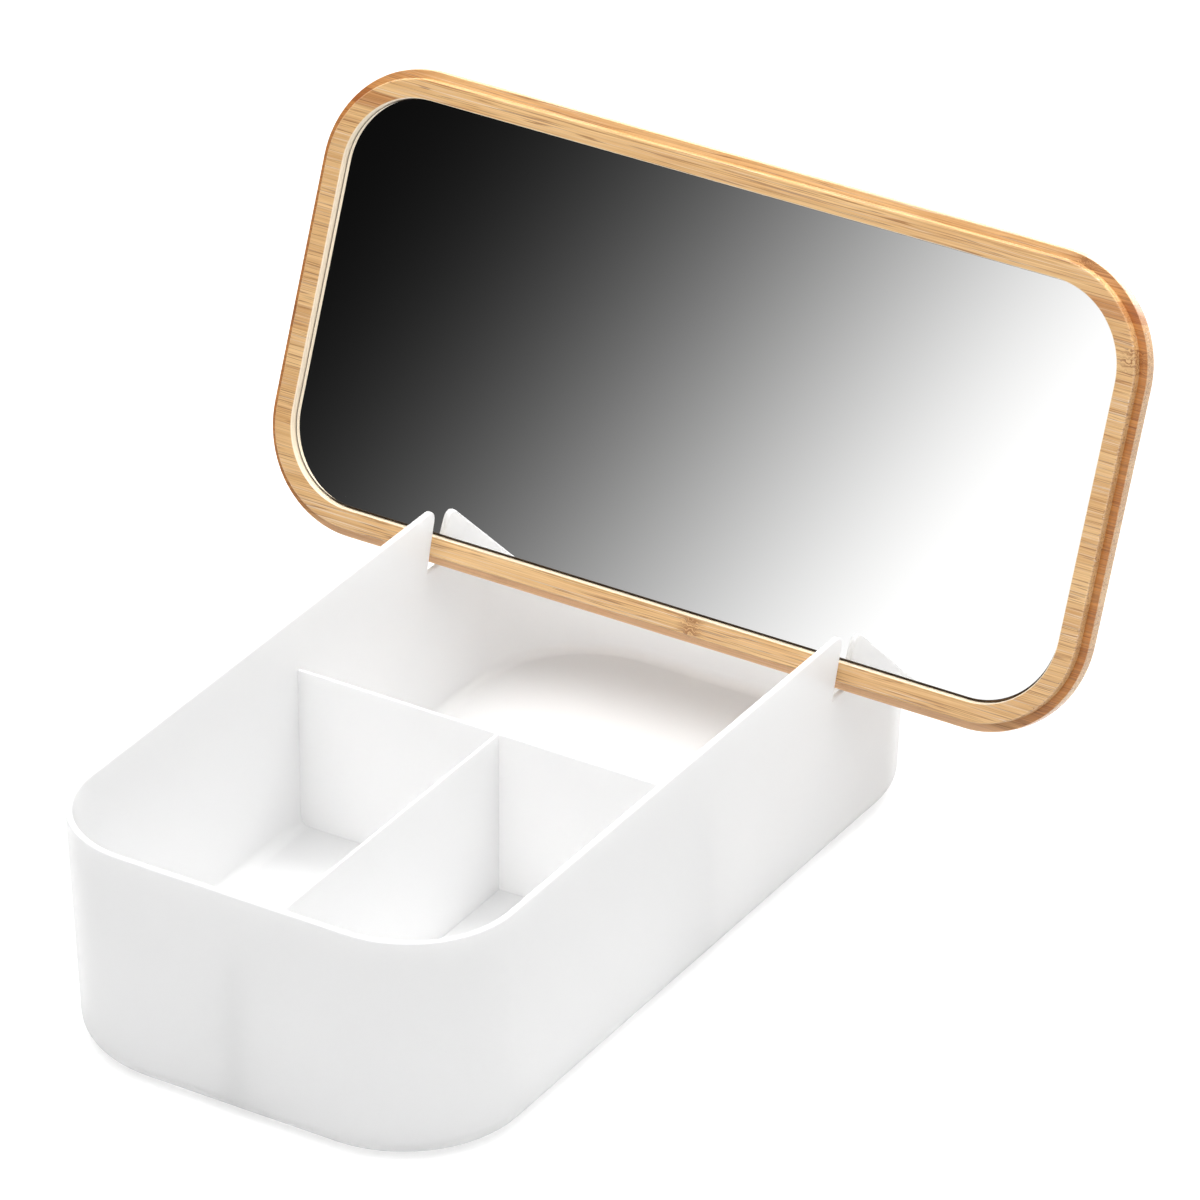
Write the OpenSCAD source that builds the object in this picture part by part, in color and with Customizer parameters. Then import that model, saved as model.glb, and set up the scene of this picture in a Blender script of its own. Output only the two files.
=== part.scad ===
// Vanity box with a mirror lid.
//
// A long open tub of white plastic with three compartments and a bamboo lid
// that carries a mirror on its under side. The lid stands crosswise in a slot
// in each long wall and leans back, so that the mirror faces the user.
//
// X runs across the tub, Y along it with the slots towards +Y, Z is up.
// The origin is the middle of the base, on the surface that the tub stands on.

/* [Tub] */
// Length of the tub at its rim
tub_length = 270; // [200:1:360]
// Width of the tub at its rim
tub_width = 137.8; // [110:0.2:180]
// Height of the rim above the base
tub_height = 71; // [55:0.5:110]
// Thickness of the walls
wall = 1.9; // [1.4:0.1:3]
// Thickness of the floor
floor_thickness = 2.6; // [1.6:0.1:4]
// Radius of the rim's corners in plan
corner_radius = 32; // [22:0.5:45]
// How far each wall leans in from the rim to the base
draft = 0.6; // [0:0.1:3]
// Rounding between the walls and the base, outside
base_round = 6.5; // [2:0.5:9]
// Rounding between the walls and the floor, inside
inner_round = 3; // [1:0.5:6]
// Rounding of the rim's two edges
rim_round = 0.6; // [0.2:0.1:0.7]

/* [Dividers] */
// Height of the dividers' top edges above the base
divider_top = 53.8; // [30:0.2:60]
// Thickness of both dividers
divider_thickness = 1.4; // [1:0.1:3]
// Distance of the cross divider behind the middle of the tub
cross_divider_shift = 0; // [-20:0.5:20]
// Distance of the long divider to the right of the middle
long_divider_shift = 0; // [-25:0.5:25]
// Gap between a divider's edges and the walls beside it
divider_gap = 0.1; // [0.05:0.05:0.3]

/* [Lid slots] */
// Depth of the slots below the rim
slot_depth = 19.3; // [14:0.1:24]
// Lean of the slots' two sides, back from upright, in degrees
slot_lean = 15.9; // [8:0.1:18]
// Distance from the lid's foot to the tub's back end
foot_from_back = 63.4; // [50:0.2:90]
// Rounding of the rim beside a slot
slot_round = 3; // [1:0.5:4]
// Clearance between the standing lid and its slots
slot_gap = 0.2; // [0.1:0.05:0.5]

/* [Lid board] */
// How far the closed lid stands out past the tub's rim
lid_overhang = 0.4; // [0:0.1:2]
// Gap between the raised field and the inside of the rim when closed
nesting_gap = 0.2; // [0.1:0.05:0.6]
// Thickness of the board at its outer edge
edge_thickness = 6.2; // [4:0.1:9]
// Height of the raised field above the ledge around it
field_height = 3.1; // [2:0.1:5]
// Rounding of the board's back edge
back_round = 2.8; // [1:0.1:3.8]
// Chamfer of the board's front edges
front_chamfer = 0.5; // [0.2:0.1:1]
// Lean of the standing lid, back from upright, in degrees
lid_lean = 22; // [20:0.1:32]
// How far the standing lid is pushed to the right of the middle
lid_shift = 5.9; // [-15:0.1:15]

/* [Mirror] */
// Width of the raised field around the mirror
frame_width = 5.8; // [4:0.1:14]
// Depth of the mirror's face below the raised field
mirror_recess = 2.5; // [1:0.1:3]
// Thickness of the mirror glass
glass_thickness = 2; // [1.5:0.1:3]
// Gap around the glass in its pocket
glass_gap = 0.3; // [0.1:0.05:0.8]
// Thickness of the adhesive tape behind the glass
tape_thickness = 0.8; // [0.4:0.1:1]
// Width of a strip of tape
tape_width = 18; // [10:1:24]
// Length of a strip of tape
tape_length = 84; // [40:1:96]

/* [Hidden] */
$fn = 96;

white_plastic = [0.95, 0.95, 0.95];
bamboo = [0.86, 0.67, 0.42];
silver = [0.72, 0.74, 0.76];
grey_foam = [0.55, 0.55, 0.55];

// Extra length of a cutting shape past the face that it cuts through
past = 1;

// The ledge of the closed lid rests on the rim, the raised field drops inside it
ledge = lid_overhang + wall + nesting_gap;
lid_length = tub_length + 2 * lid_overhang;
lid_width = tub_width + 2 * lid_overhang;
lid_corner = corner_radius + lid_overhang;

// The pocket holds the tape, then the glass, and ends mirror_recess above the glass
pocket_inset = ledge + frame_width;
pocket_length = lid_length - 2 * pocket_inset;
pocket_width = lid_width - 2 * pocket_inset;
pocket_corner = lid_corner - pocket_inset;
glass_face = field_height - mirror_recess;
glass_back = glass_face - glass_thickness;
pocket_floor = glass_back - tape_thickness;
glass_length = pocket_length - 2 * glass_gap;
glass_width = pocket_width - 2 * glass_gap;
glass_corner = pocket_corner - glass_gap;

// Middles of the four strips of tape, measured from the middle of the glass
tape_x = glass_length / 4;
tape_y = glass_width / 4;

// The lid's foot is the front lower edge of the board, and its lowest point is
// on the rounded back edge
slot_floor = tub_height - slot_depth;
foot_drop = back_round + (edge_thickness - back_round) * sin(lid_lean) - back_round * cos(lid_lean);
foot_y = tub_length / 2 - foot_from_back;
foot_z = slot_floor + slot_gap + foot_drop;

// Front side of a slot: through the raised field's lower edge, a gap in front of it
toe_y = foot_y + ledge * sin(lid_lean) - field_height * cos(lid_lean) - slot_gap / cos(slot_lean);
toe_z = foot_z + ledge * cos(lid_lean) + field_height * sin(lid_lean);

// Back side of a slot: the board's back rests where the rim's rounding ends
heel_z = tub_height - slot_round;
heel_rise = (heel_z - foot_z + edge_thickness * sin(lid_lean)) * tan(lid_lean);
heel_y = foot_y + edge_thickness * cos(lid_lean) + heel_rise + slot_gap / cos(lid_lean);

// Y of the slot's front and back side at height z
function slot_front(z) = toe_y + (z - toe_z) * tan(slot_lean);
function slot_back(z) = heel_y + (z - heel_z) * tan(slot_lean);

// The walls lean from the base up to where the rim's rounding starts
rim_low = tub_height - rim_round;

// How far the outer wall has come in at height z, to the nearest micrometre, so
// that straight walls and their roundings meet without a step
function lean_in(z) = round(1000 * draft * (1 - z / rim_low)) / 1000;

// How far the section of a rounded block's edge reaches in from its outline
function section_reach(radius) = radius / 2 + past;

// A block with a rounded outline. The child is the section of its edge, drawn
// with X as the distance to the outline (negative inside) and Y as the height.
// The middle is filled from low to high.
module rounded_block(length, width, radius, low, high) {
    half_x = width / 2 - radius;
    half_y = length / 2 - radius;
    translate([(radius - width) / 2, (radius - length) / 2, low])
        cube([width - radius, length - radius, high - low]);
    for (side = [-1, 1]) {
        translate([side * half_x, side * half_y, 0])
            rotate([90, 0, 90 - 90 * side])
                linear_extrude(2 * half_y)
                    translate([radius, 0])
                        children();
        translate([-side * half_x, side * half_y, 0])
            rotate([90, 0, 90 * side])
                linear_extrude(2 * half_x)
                    translate([radius, 0])
                        children();
    }
    for (side_x = [-1, 1], side_y = [-1, 1]) {
        turn = side_x > 0 ? (side_y > 0 ? 0 : 270) : (side_y > 0 ? 90 : 180);
        translate([side_x * half_x, side_y * half_y, 0])
            rotate([0, 0, turn])
                rotate_extrude(angle = 90)
                    translate([radius, 0])
                        children();
    }
}

// A flat plate with a rounded outline, centred, from low to high
module rounded_plate(length, width, radius, low, high) {
    translate([0, 0, low])
        linear_extrude(high - low) {
            square([width - 2 * radius, length], center = true);
            square([width, length - 2 * radius], center = true);
            for (side_x = [-1, 1], side_y = [-1, 1])
                translate([side_x * (width / 2 - radius), side_y * (length / 2 - radius)])
                    circle(radius);
        }
}

// Section of the space inside a leaning wall, from reach inside the rim's
// outline to a line inset from the outer face. It starts at the height low, its
// lower corner has the rounding round, and it ends at the height high.
module wall_section(reach, inset, low, round, high) {
    bend_x = -inset - lean_in(low + round);
    polygon([[-reach, low + round], [bend_x, low + round], [-inset - lean_in(high), high], [-reach, high]]);
    polygon([[-reach, low], [bend_x - round, low], [bend_x - round, low + round], [-reach, low + round]]);
    intersection() {
        translate([bend_x - round, low + round])
            circle(round);
        translate([bend_x - round, low])
            square(round);
    }
}

// Section of the tub's shell: the outer shape less the space inside, with the
// rim's two edges rounded
module tub_section() {
    reach = section_reach(corner_radius);
    difference() {
        wall_section(reach, 0, 0, base_round, rim_low);
        wall_section(reach + past, wall, floor_thickness, inner_round, tub_height + past);
    }
    for (x = [-rim_round, rim_round - wall])
        translate([x, rim_low])
            circle(rim_round);
    translate([rim_round - wall, rim_low - rim_round])
        square([wall - 2 * rim_round, 2 * rim_round]);
}

// Outline of one slot seen from the side: Y across, Z up. The rim's corners
// beside it are rounded off.
module slot_outline() {
    top = tub_height + past;
    polygon([[slot_front(slot_floor), slot_floor], [slot_back(slot_floor), slot_floor],
             [slot_back(top), top], [slot_front(top), top]]);
    rim_corner(slot_front(tub_height), -1, 90 - slot_lean);
    rim_corner(slot_back(tub_height), 1, 90 + slot_lean);
}

// What a rounding removes from the rim's corner at y: the wall lies on the given
// side of it and fills the given angle
module rim_corner(y, side, angle) {
    tangent = slot_round / tan(angle / 2);
    centre = [y + side * tangent, tub_height - slot_round];
    low = [y, tub_height] - tangent * [sin(slot_lean), cos(slot_lean)];
    difference() {
        polygon([low, centre, [centre[0], tub_height + past],
                 [y - side * past, tub_height + past], [y - side * past, low[1]]]);
        translate(centre)
            circle(slot_round);
    }
}

// The tub: walls and floor in one moulding, with a slot through each long wall
module tub() {
    color(white_plastic)
        difference() {
            rounded_block(tub_length, tub_width, corner_radius, 0, floor_thickness)
                tub_section();
            translate([-tub_width / 2 - past, 0, 0])
                rotate([90, 0, 90])
                    linear_extrude(tub_width + 2 * past)
                        slot_outline();
        }
}

// Section of the tub's inside up to the dividers' top, from one wall to reach
// inside it, a gap clear of the wall
module divider_section(reach) {
    inset = wall + divider_gap;
    wall_section(reach, inset, floor_thickness, inner_round, divider_top);
}

// The divider across the tub, between the two long walls
module divider_cross() {
    color(white_plastic)
        translate([0, cross_divider_shift + divider_thickness / 2, 0])
            rotate([90, 0, 0])
                linear_extrude(divider_thickness)
                    for (side = [0, 1])
                        mirror([side, 0])
                            translate([tub_width / 2, 0])
                                divider_section(tub_width / 2);
}

// The divider along the tub, from the front wall to the cross divider
module divider_long() {
    long_end = tub_length / 2 + cross_divider_shift - divider_thickness / 2;
    color(white_plastic)
        translate([long_divider_shift - divider_thickness / 2, 0, 0])
            rotate([90, 0, 90])
                linear_extrude(divider_thickness)
                    mirror([1, 0])
                        translate([tub_length / 2, 0])
                            divider_section(long_end);
}

// Stands a piece that is modelled flat in the slots, leaning back. Flat, its
// middle is at the origin, the ledge is at Z = 0 and the mirror looks up.
module stand_up() {
    translate([lid_shift, foot_y, foot_z])
        rotate([90 - lid_lean, 0, 0])
            translate([0, lid_width / 2, 0])
                children();
}

// Section of the lid board's edge: the plate with its rounded back edge, and the
// raised field with its chamfer
module lid_section() {
    reach = section_reach(lid_corner);
    translate([-reach, back_round - edge_thickness])
        square([reach, edge_thickness - back_round - front_chamfer]);
    translate([-reach, -edge_thickness])
        square([reach - back_round, back_round]);
    intersection() {
        translate([-back_round, back_round - edge_thickness])
            circle(back_round);
        translate([-back_round, -edge_thickness])
            square(back_round);
    }
    polygon([[-reach, -front_chamfer], [0, -front_chamfer], [-front_chamfer, 0], [-reach, 0]]);
    translate([-reach, 0])
        square([reach - ledge, field_height - front_chamfer]);
    translate([-reach, field_height - front_chamfer])
        polygon([[0, 0], [reach - ledge, 0], [reach - ledge - front_chamfer, front_chamfer],
                 [0, front_chamfer]]);
}

// The bamboo board, with its pocket for the mirror
module lid_board() {
    color(bamboo)
        stand_up()
            difference() {
                rotate([0, 0, 90])
                    rounded_block(lid_length, lid_width, lid_corner, -edge_thickness, field_height)
                        lid_section();
                rotate([0, 0, 90])
                    rounded_plate(pocket_length, pocket_width, pocket_corner, pocket_floor, field_height + past);
            }
}

// The mirror glass, silvered on its back
module mirror_glass() {
    color(silver)
        stand_up()
            rotate([0, 0, 90])
                rounded_plate(glass_length, glass_width, glass_corner, glass_back, glass_face);
}

// One strip of double-sided tape between the pocket and the glass
module tape(side_x, side_y) {
    color(grey_foam)
        stand_up()
            translate([side_x * tape_x - tape_length / 2, side_y * tape_y - tape_width / 2, pocket_floor])
                cube([tape_length, tape_width, tape_thickness]);
}

tub();
divider_cross();
divider_long();
lid_board();
mirror_glass();  // mirror
tape(-1, 1);  // tape_upper_left
tape(1, 1);  // tape_upper_right
tape(-1, -1);  // tape_lower_left
tape(1, -1);  // tape_lower_right
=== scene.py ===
import math

import bmesh
import bpy
from mathutils import Matrix, Vector


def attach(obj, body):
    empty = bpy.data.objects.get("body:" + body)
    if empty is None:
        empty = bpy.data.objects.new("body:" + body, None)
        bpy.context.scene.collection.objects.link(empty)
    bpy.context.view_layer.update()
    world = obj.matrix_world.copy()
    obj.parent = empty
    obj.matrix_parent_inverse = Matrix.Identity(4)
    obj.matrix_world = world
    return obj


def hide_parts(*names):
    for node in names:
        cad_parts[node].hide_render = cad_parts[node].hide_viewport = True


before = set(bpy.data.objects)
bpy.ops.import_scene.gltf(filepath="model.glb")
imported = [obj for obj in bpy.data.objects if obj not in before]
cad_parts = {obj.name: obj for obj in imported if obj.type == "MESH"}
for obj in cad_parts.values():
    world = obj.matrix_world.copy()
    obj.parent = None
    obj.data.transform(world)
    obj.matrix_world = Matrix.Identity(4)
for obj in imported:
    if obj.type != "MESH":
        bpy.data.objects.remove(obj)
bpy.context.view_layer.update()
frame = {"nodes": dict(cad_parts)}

bl_info = {
    "name": "Vanity Box with Mirror",
    "version": (1, 0, 0),
    "blender": (4, 5, 0),
    "location": "View3D > Sidebar > Vanity Box",
    "description": "A plastic cosmetics box with dividers and a standing bamboo lid with a mirror",
    "category": "Add Mesh",
}

# what the settings of a length and of a colour have in common
METRES = {"unit": "LENGTH", "precision": 4}
COLOUR = {"min": 0, "max": 1, "subtype": "COLOR"}

SLACK = 1e-5                 # two places nearer than this are the same
TUB_CORNER_STEPS, LID_CORNER_STEPS = 20, 24
ALL_ROUND = 180              # degrees, the spread of a lamp that isn't narrowed

# how the bamboo's pattern is laid out, in metres and strips
STRIP_START = 0.005          # the first strip begins this far below the board's edge
WAVER_RATE, WAVER = 700.0, 0.12      # the glue lines waver a little across the board
SHADE_STEP, SHIFT_STEP = 0.38, 7.31  # from one strip to the next, in shade and along
KNOT_STEP, KNOT_START = 0.73769, 0.79591
KNOT_SPAN, KNOT_LENGTH = 0.42, 0.006
SWIRL_RATE, SWIRL = 520.0, 0.0045
DARK_STRIP, DARK_STRIP_TINT = 21.0, (0.82, 0.68, 0.58)
# painted light: lifts the bottom ledge out of the raised field's shade
LOW_LEDGE_PAINTED_LIGHT = (1.0, 0.6, 0.34)
BOUNCE, BOUNCE_COLOUR = 0.6, (0.6, 0.55, 0.5)  # calms the orange light that it throws on the plastic

# name, place, aim, size, spread in degrees, and whether shiny surfaces show it
LAMPS = (
    ("overhead", (0, 0, 2.0), (0, 0, 0), 3.4, ALL_ROUND, False),
    ("back", (0, 1.7, 0.45), (0, 0, 0.05), 1.2, ALL_ROUND, True),
    ("right", (1.9, -0.5, 1.1), (0, 0, 0.1), 1.0, ALL_ROUND, True),
    ("inside", (0, 0.5, 0.95), (0, 0.06, 0), 0.5, 45, False),
)

# ---------------------------------------------------------------- sizes and colours

class TubSizes(bpy.types.PropertyGroup):
    """Sizes of the plastic tub and its dividers"""

    length: bpy.props.FloatProperty(
        name="Length", description="Length of the tub at its rim",
        default=0.270, min=0.2, max=0.36, **METRES)
    width: bpy.props.FloatProperty(
        name="Width", description="Width of the tub at its rim",
        default=0.1378, min=0.11, max=0.18, **METRES)
    height: bpy.props.FloatProperty(
        name="Height", description="Height of the rim above the base",
        default=0.071, min=0.055, max=0.11, **METRES)
    wall: bpy.props.FloatProperty(
        name="Wall", description="Thickness of the walls",
        default=0.0019, min=0.0014, max=0.003, **METRES)
    floor: bpy.props.FloatProperty(
        name="Floor", description="Thickness of the floor",
        default=0.0026, min=0.0016, max=0.004, **METRES)
    rim_corner: bpy.props.FloatProperty(
        name="Rim Corner", description="Radius of the tub's corners at the rim, in plan",
        default=0.032, min=0.022, max=0.045, **METRES)
    base_corner: bpy.props.FloatProperty(
        name="Base Corner", description="Radius of the tub's corners at the base, in plan",
        default=0.038, min=0.022, max=0.05, **METRES)
    draft: bpy.props.FloatProperty(
        name="Draft", description="How far each wall leans in from the rim to the base",
        default=0.0006, min=0.0, max=0.003, **METRES)
    base_round: bpy.props.FloatProperty(
        name="Base Rounding", description="Rounding between the walls and the base, outside",
        default=0.0065, min=0.002, max=0.009, **METRES)
    inner_round: bpy.props.FloatProperty(
        name="Inner Rounding", description="Rounding between the walls and the floor, inside",
        default=0.003, min=0.001, max=0.006, **METRES)
    rim_round: bpy.props.FloatProperty(
        name="Rim Rounding", description="Rounding of the rim's edges",
        default=0.0006, min=0.0002, max=0.0007, **METRES)
    slot_depth: bpy.props.FloatProperty(
        name="Slot Depth", description="Depth of the lid's slots below the rim",
        default=0.0193, min=0.014, max=0.024, **METRES)
    slot_lean: bpy.props.FloatProperty(
        name="Slot Lean", description="Lean of the slots' two sides, back from upright",
        default=math.radians(15.9), min=math.radians(8), max=math.radians(18), subtype="ANGLE")
    slot_start: bpy.props.FloatProperty(
        name="Slot Start", description="From the tub's middle to the slot, at the slot's floor",
        default=0.067985, min=0.04, max=0.09, **METRES)
    slot_width: bpy.props.FloatProperty(
        name="Slot Width", description="Width of the slot along the tub",
        default=0.011782, min=0.008, max=0.02, **METRES)
    slot_round: bpy.props.FloatProperty(
        name="Slot Rounding", description="Rounding of the rim beside a slot",
        default=0.003, min=0.001, max=0.004, **METRES)
    divider_top: bpy.props.FloatProperty(
        name="Divider Height", description="Height of the dividers' top edges above the base",
        default=0.0538, min=0.03, max=0.06, **METRES)
    divider_thickness: bpy.props.FloatProperty(
        name="Divider Thickness", description="Thickness of both dividers",
        default=0.001, min=0.0008, max=0.003, **METRES)
    divider_round: bpy.props.FloatProperty(
        name="Divider Rounding", description="Rounding of the dividers' top edges",
        default=0.00045, min=0.0002, max=0.0006, unit="LENGTH", precision=5)
    divider_gap: bpy.props.FloatProperty(
        name="Divider Gap", description="Clearance between a divider and the tub",
        default=0.00006, min=0, max=0.001, unit="LENGTH", precision=5)


class LidSizes(bpy.types.PropertyGroup):
    """Sizes and stance of the bamboo lid and its mirror"""

    length: bpy.props.FloatProperty(
        name="Length", description="Length of the lid board",
        default=0.2708, min=0.2, max=0.36, **METRES)
    width: bpy.props.FloatProperty(
        name="Width", description="Width of the lid board",
        default=0.1386, min=0.11, max=0.18, **METRES)
    corner: bpy.props.FloatProperty(
        name="Corner", description="Radius of the board's corners in plan",
        default=0.0324, min=0.022, max=0.045, **METRES)
    edge: bpy.props.FloatProperty(
        name="Edge Thickness", description="Thickness of the board at its outer edge",
        default=0.0062, min=0.004, max=0.009, **METRES)
    ledge: bpy.props.FloatProperty(
        name="Ledge", description="Width of the ledge around the raised field",
        default=0.0025, min=0.001, max=0.005, **METRES)
    field: bpy.props.FloatProperty(
        name="Field Height", description="Height of the raised field above the ledge",
        default=0.0031, min=0.002, max=0.005, **METRES)
    frame: bpy.props.FloatProperty(
        name="Frame Width", description="Width of the raised field around the mirror",
        default=0.0058, min=0.004, max=0.014, **METRES)
    recess: bpy.props.FloatProperty(
        name="Recess", description="Depth of the mirror's face below the raised field",
        default=0.0025, min=0.001, max=0.003, **METRES)
    glass: bpy.props.FloatProperty(
        name="Glass", description="Thickness of the mirror glass",
        default=0.002, min=0.0015, max=0.003, **METRES)
    glass_gap: bpy.props.FloatProperty(
        name="Glass Gap", description="Gap around the glass in its pocket",
        default=0.0004, min=0.0001, max=0.0008, **METRES)
    glass_bevel: bpy.props.FloatProperty(
        name="Glass Bevel", description="Ground edge around the face of the glass",
        default=0.0002, min=0.0001, max=0.001, **METRES)
    glass_shift: bpy.props.FloatVectorProperty(
        name="Glass Shift", description="How far the glass sits off the middle of its pocket",
        default=(-0.0003, 0.0002, 0), **METRES)
    tape: bpy.props.FloatProperty(
        name="Tape", description="Thickness of the adhesive tape behind the glass",
        default=0.0008, min=0.0004, max=0.001, **METRES)
    back_round: bpy.props.FloatProperty(
        name="Back Rounding", description="Rounding of the board's back edge",
        default=0.0028, min=0.001, max=0.0038, **METRES)
    chamfer: bpy.props.FloatProperty(
        name="Chamfer", description="Sanded corner of the raised field, twice that of the ledge",
        default=0.0007, min=0.0002, max=0.002, **METRES)
    pocket_round: bpy.props.FloatProperty(
        name="Pocket Rounding", description="Rounding of the edge around the mirror",
        default=0.0004, min=0.0001, max=0.0008, **METRES)
    lean: bpy.props.FloatProperty(
        name="Lean", description="Lean of the standing lid, back from upright",
        default=math.radians(22), min=math.radians(20), max=math.radians(32), subtype="ANGLE")
    foot: bpy.props.FloatVectorProperty(
        name="Foot", description="Middle of the board's lower front edge where it stands",
        default=(0.0059, 0.0716, 0.053378), **METRES)


class Finishes(bpy.types.PropertyGroup):
    """Colours of the materials"""

    plastic: bpy.props.FloatVectorProperty(
        name="Plastic", description="White plastic of the tub and the dividers",
        default=(0.98, 0.98, 0.98), **COLOUR)
    translucency: bpy.props.FloatProperty(
        name="Translucency", description="Share of the light that the plastic lets through",
        default=0.42, min=0, max=1, subtype="FACTOR")
    bamboo_light: bpy.props.FloatVectorProperty(
        name="Bamboo, Light", description="Palest strips of the bamboo",
        default=(0.85, 0.56, 0.265), **COLOUR)
    bamboo_dark: bpy.props.FloatVectorProperty(
        name="Bamboo, Dark", description="Darkest strips of the bamboo",
        default=(0.62, 0.326, 0.113), **COLOUR)
    bamboo_fibre: bpy.props.FloatVectorProperty(
        name="Bamboo Fibre", description="Dark fibres, glue lines and nodes of the bamboo",
        default=(0.33, 0.13, 0.035), **COLOUR)
    end_grain: bpy.props.FloatVectorProperty(
        name="End Grain", description="Tint of the bamboo where its fibres are cut across",
        default=(0.92, 0.88, 0.86), **COLOUR)
    # the ledge's own browner routed tone, together with painted shade beside the raised field
    routed_and_shaded: bpy.props.FloatVectorProperty(
        name="Routed Ends and Shade", description="Tint of the ledge where it was routed across the fibres",
        default=(0.74, 0.48, 0.24), **COLOUR)
    # pale bamboo for the grain's flecks, also used as a painted highlight on the chamfered corners and the
    # pocket's walls
    pale_and_sheen: bpy.props.FloatVectorProperty(
        name="Pale Grain and Sheen", description="Pale bamboo of the sanded corners",
        default=(1.0, 0.87, 0.66), **COLOUR)
    strip_width: bpy.props.FloatProperty(
        name="Strip Width", description="Width of the bamboo strips",
        default=0.0061, min=0.003, max=0.02, **METRES)
    silver: bpy.props.FloatVectorProperty(
        name="Mirror", description="Silvered face of the mirror",
        default=(0.97, 0.97, 0.965), **COLOUR)
    # painted shade: the dark of the narrow gap around the glass, given to the glass's edge
    glass_edge: bpy.props.FloatVectorProperty(
        name="Glass Edge", description="Dark ground edge of the mirror glass",
        default=(0.045, 0.03, 0.022), **COLOUR)
    foam: bpy.props.FloatVectorProperty(
        name="Foam Tape", description="Foam of the adhesive tape",
        default=(0.36, 0.36, 0.35), **COLOUR)


class StageSettings(bpy.types.PropertyGroup):
    """Camera and lights"""

    azimuth: bpy.props.FloatProperty(
        name="Azimuth", description="Turn of the camera around the box",
        default=math.radians(31.4227), subtype="ANGLE")
    elevation: bpy.props.FloatProperty(
        name="Elevation", description="Height of the camera above the horizon",
        default=math.radians(29.8819), subtype="ANGLE")
    roll: bpy.props.FloatProperty(
        name="Roll", description="Tilt of the camera around its own axis",
        default=math.radians(0.2766), subtype="ANGLE")
    distance: bpy.props.FloatProperty(
        name="Distance", description="From the camera to the point it aims at",
        default=2.5674, min=0.5, max=10, unit="LENGTH")
    aim: bpy.props.FloatVectorProperty(
        name="Aim", description="Point in the middle of the picture",
        default=(0.009079, 0.039322, 0.080159), **METRES)
    lens: bpy.props.FloatProperty(
        name="Focal Length", description="Focal length of the lens in millimetres",
        default=273.946, min=20, max=600)
    sky: bpy.props.FloatProperty(
        name="Surrounding Light", description="Strength of the even light from all around",
        default=0.32, min=0, max=3)
    overhead: bpy.props.FloatProperty(
        name="Overhead Light", description="Power of the large soft lamp above, in watts",
        default=77.0, min=0, max=200)
    back: bpy.props.FloatProperty(
        name="Back Light", description="Power of the soft lamp behind the box, in watts",
        default=16.0, min=0, max=200)
    right: bpy.props.FloatProperty(
        name="Right Light", description="Power of the soft lamp at the right, in watts",
        default=2.2, min=0, max=200)
    inside: bpy.props.FloatProperty(
        name="Inside Light", description="Power of the small lamp into the compartment below the lid, in watts",
        default=0.6, min=0, max=10)
    screen_distance: bpy.props.FloatProperty(
        name="Screen Distance", description="From the mirror to the shaded screen that it shows",
        default=1.6, min=0.5, max=5, unit="LENGTH")
    screen_turn: bpy.props.FloatProperty(
        name="Screen Turn", description="Direction in which the screen grows lighter, below level in the picture",
        default=math.radians(38), subtype="ANGLE")
    screen_fade: bpy.props.FloatProperty(
        name="Screen Fade", description="Length over which the screen goes from dark to white",
        default=0.404, min=0.1, max=5, unit="LENGTH")


# ---------------------------------------------------------------- helpers for modelling

def select_only(obj=None):
    """Deselects everything, then selects obj and makes it active"""
    bpy.ops.object.select_all(action="DESELECT")
    if obj is not None:
        obj.select_set(True)
        bpy.context.view_layer.objects.active = obj


def add_block(name, low, high):
    """A cube primitive between two corners, in edit mode with nothing selected"""
    select_only()
    low, high = Vector(low), Vector(high)
    bpy.ops.mesh.primitive_cube_add(size=1, location=(low + high) / 2, scale=high - low)
    obj = bpy.context.active_object
    obj.name = obj.data.name = name
    bpy.ops.object.transform_apply(location=True, rotation=True, scale=True)
    bpy.ops.object.mode_set(mode="EDIT")
    bpy.ops.mesh.select_all(action="DESELECT")
    return obj


def pick(obj, kind, test):
    """Selects the vertices, edges or faces whose place passes the test; returns how many"""
    mesh = bmesh.from_edit_mesh(obj.data)
    bpy.ops.mesh.select_mode(type={"verts": "VERT", "edges": "EDGE", "faces": "FACE"}[kind])
    bpy.ops.mesh.select_all(action="DESELECT")
    mesh.normal_update()
    count = 0
    for element in getattr(mesh, kind):
        if test(element):
            element.select_set(True)
            count += 1
    mesh.select_flush_mode()
    bmesh.update_edit_mesh(obj.data)
    if not count:
        raise RuntimeError(f"nothing to select on {obj.name}")
    return count


def near(a, b, slack=SLACK):
    return abs(a - b) < slack


def level(element, z, slack=SLACK):
    """True if all of an edge's or face's vertices lie at height z"""
    return all(near(v.co.z, z, slack) for v in element.verts)


def bevel(width, segments):
    bpy.ops.mesh.bevel(offset=width, offset_type="OFFSET", segments=segments, affect="EDGES",
                       clamp_overlap=False, miter_outer="SHARP", loop_slide=True)


def round_corners(obj, radius, segments):
    """Rounds the four upright edges of a block"""
    pick(obj, "edges", lambda e: near(e.verts[0].co.x, e.verts[1].co.x)
         and near(e.verts[0].co.y, e.verts[1].co.y))
    bevel(radius, segments)


def extrude_up(height):
    bpy.ops.mesh.extrude_region_move(TRANSFORM_OT_translate={"value": (0, 0, height)})


def to_object_mode(obj):
    bpy.ops.mesh.select_all(action="SELECT")
    bpy.ops.mesh.remove_doubles(threshold=1e-6)
    bpy.ops.object.mode_set(mode="OBJECT")
    select_only(obj)


def smooth(obj, angle=35):
    """Smooth shading with sharp creases, with normals that keep flat faces flat"""
    select_only(obj)
    bpy.ops.object.shade_smooth_by_angle(angle=math.radians(angle))
    weighted = obj.modifiers.new("Weighted Normal", "WEIGHTED_NORMAL")
    weighted.keep_sharp = True
    bpy.ops.object.modifier_apply(modifier=weighted.name)


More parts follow.
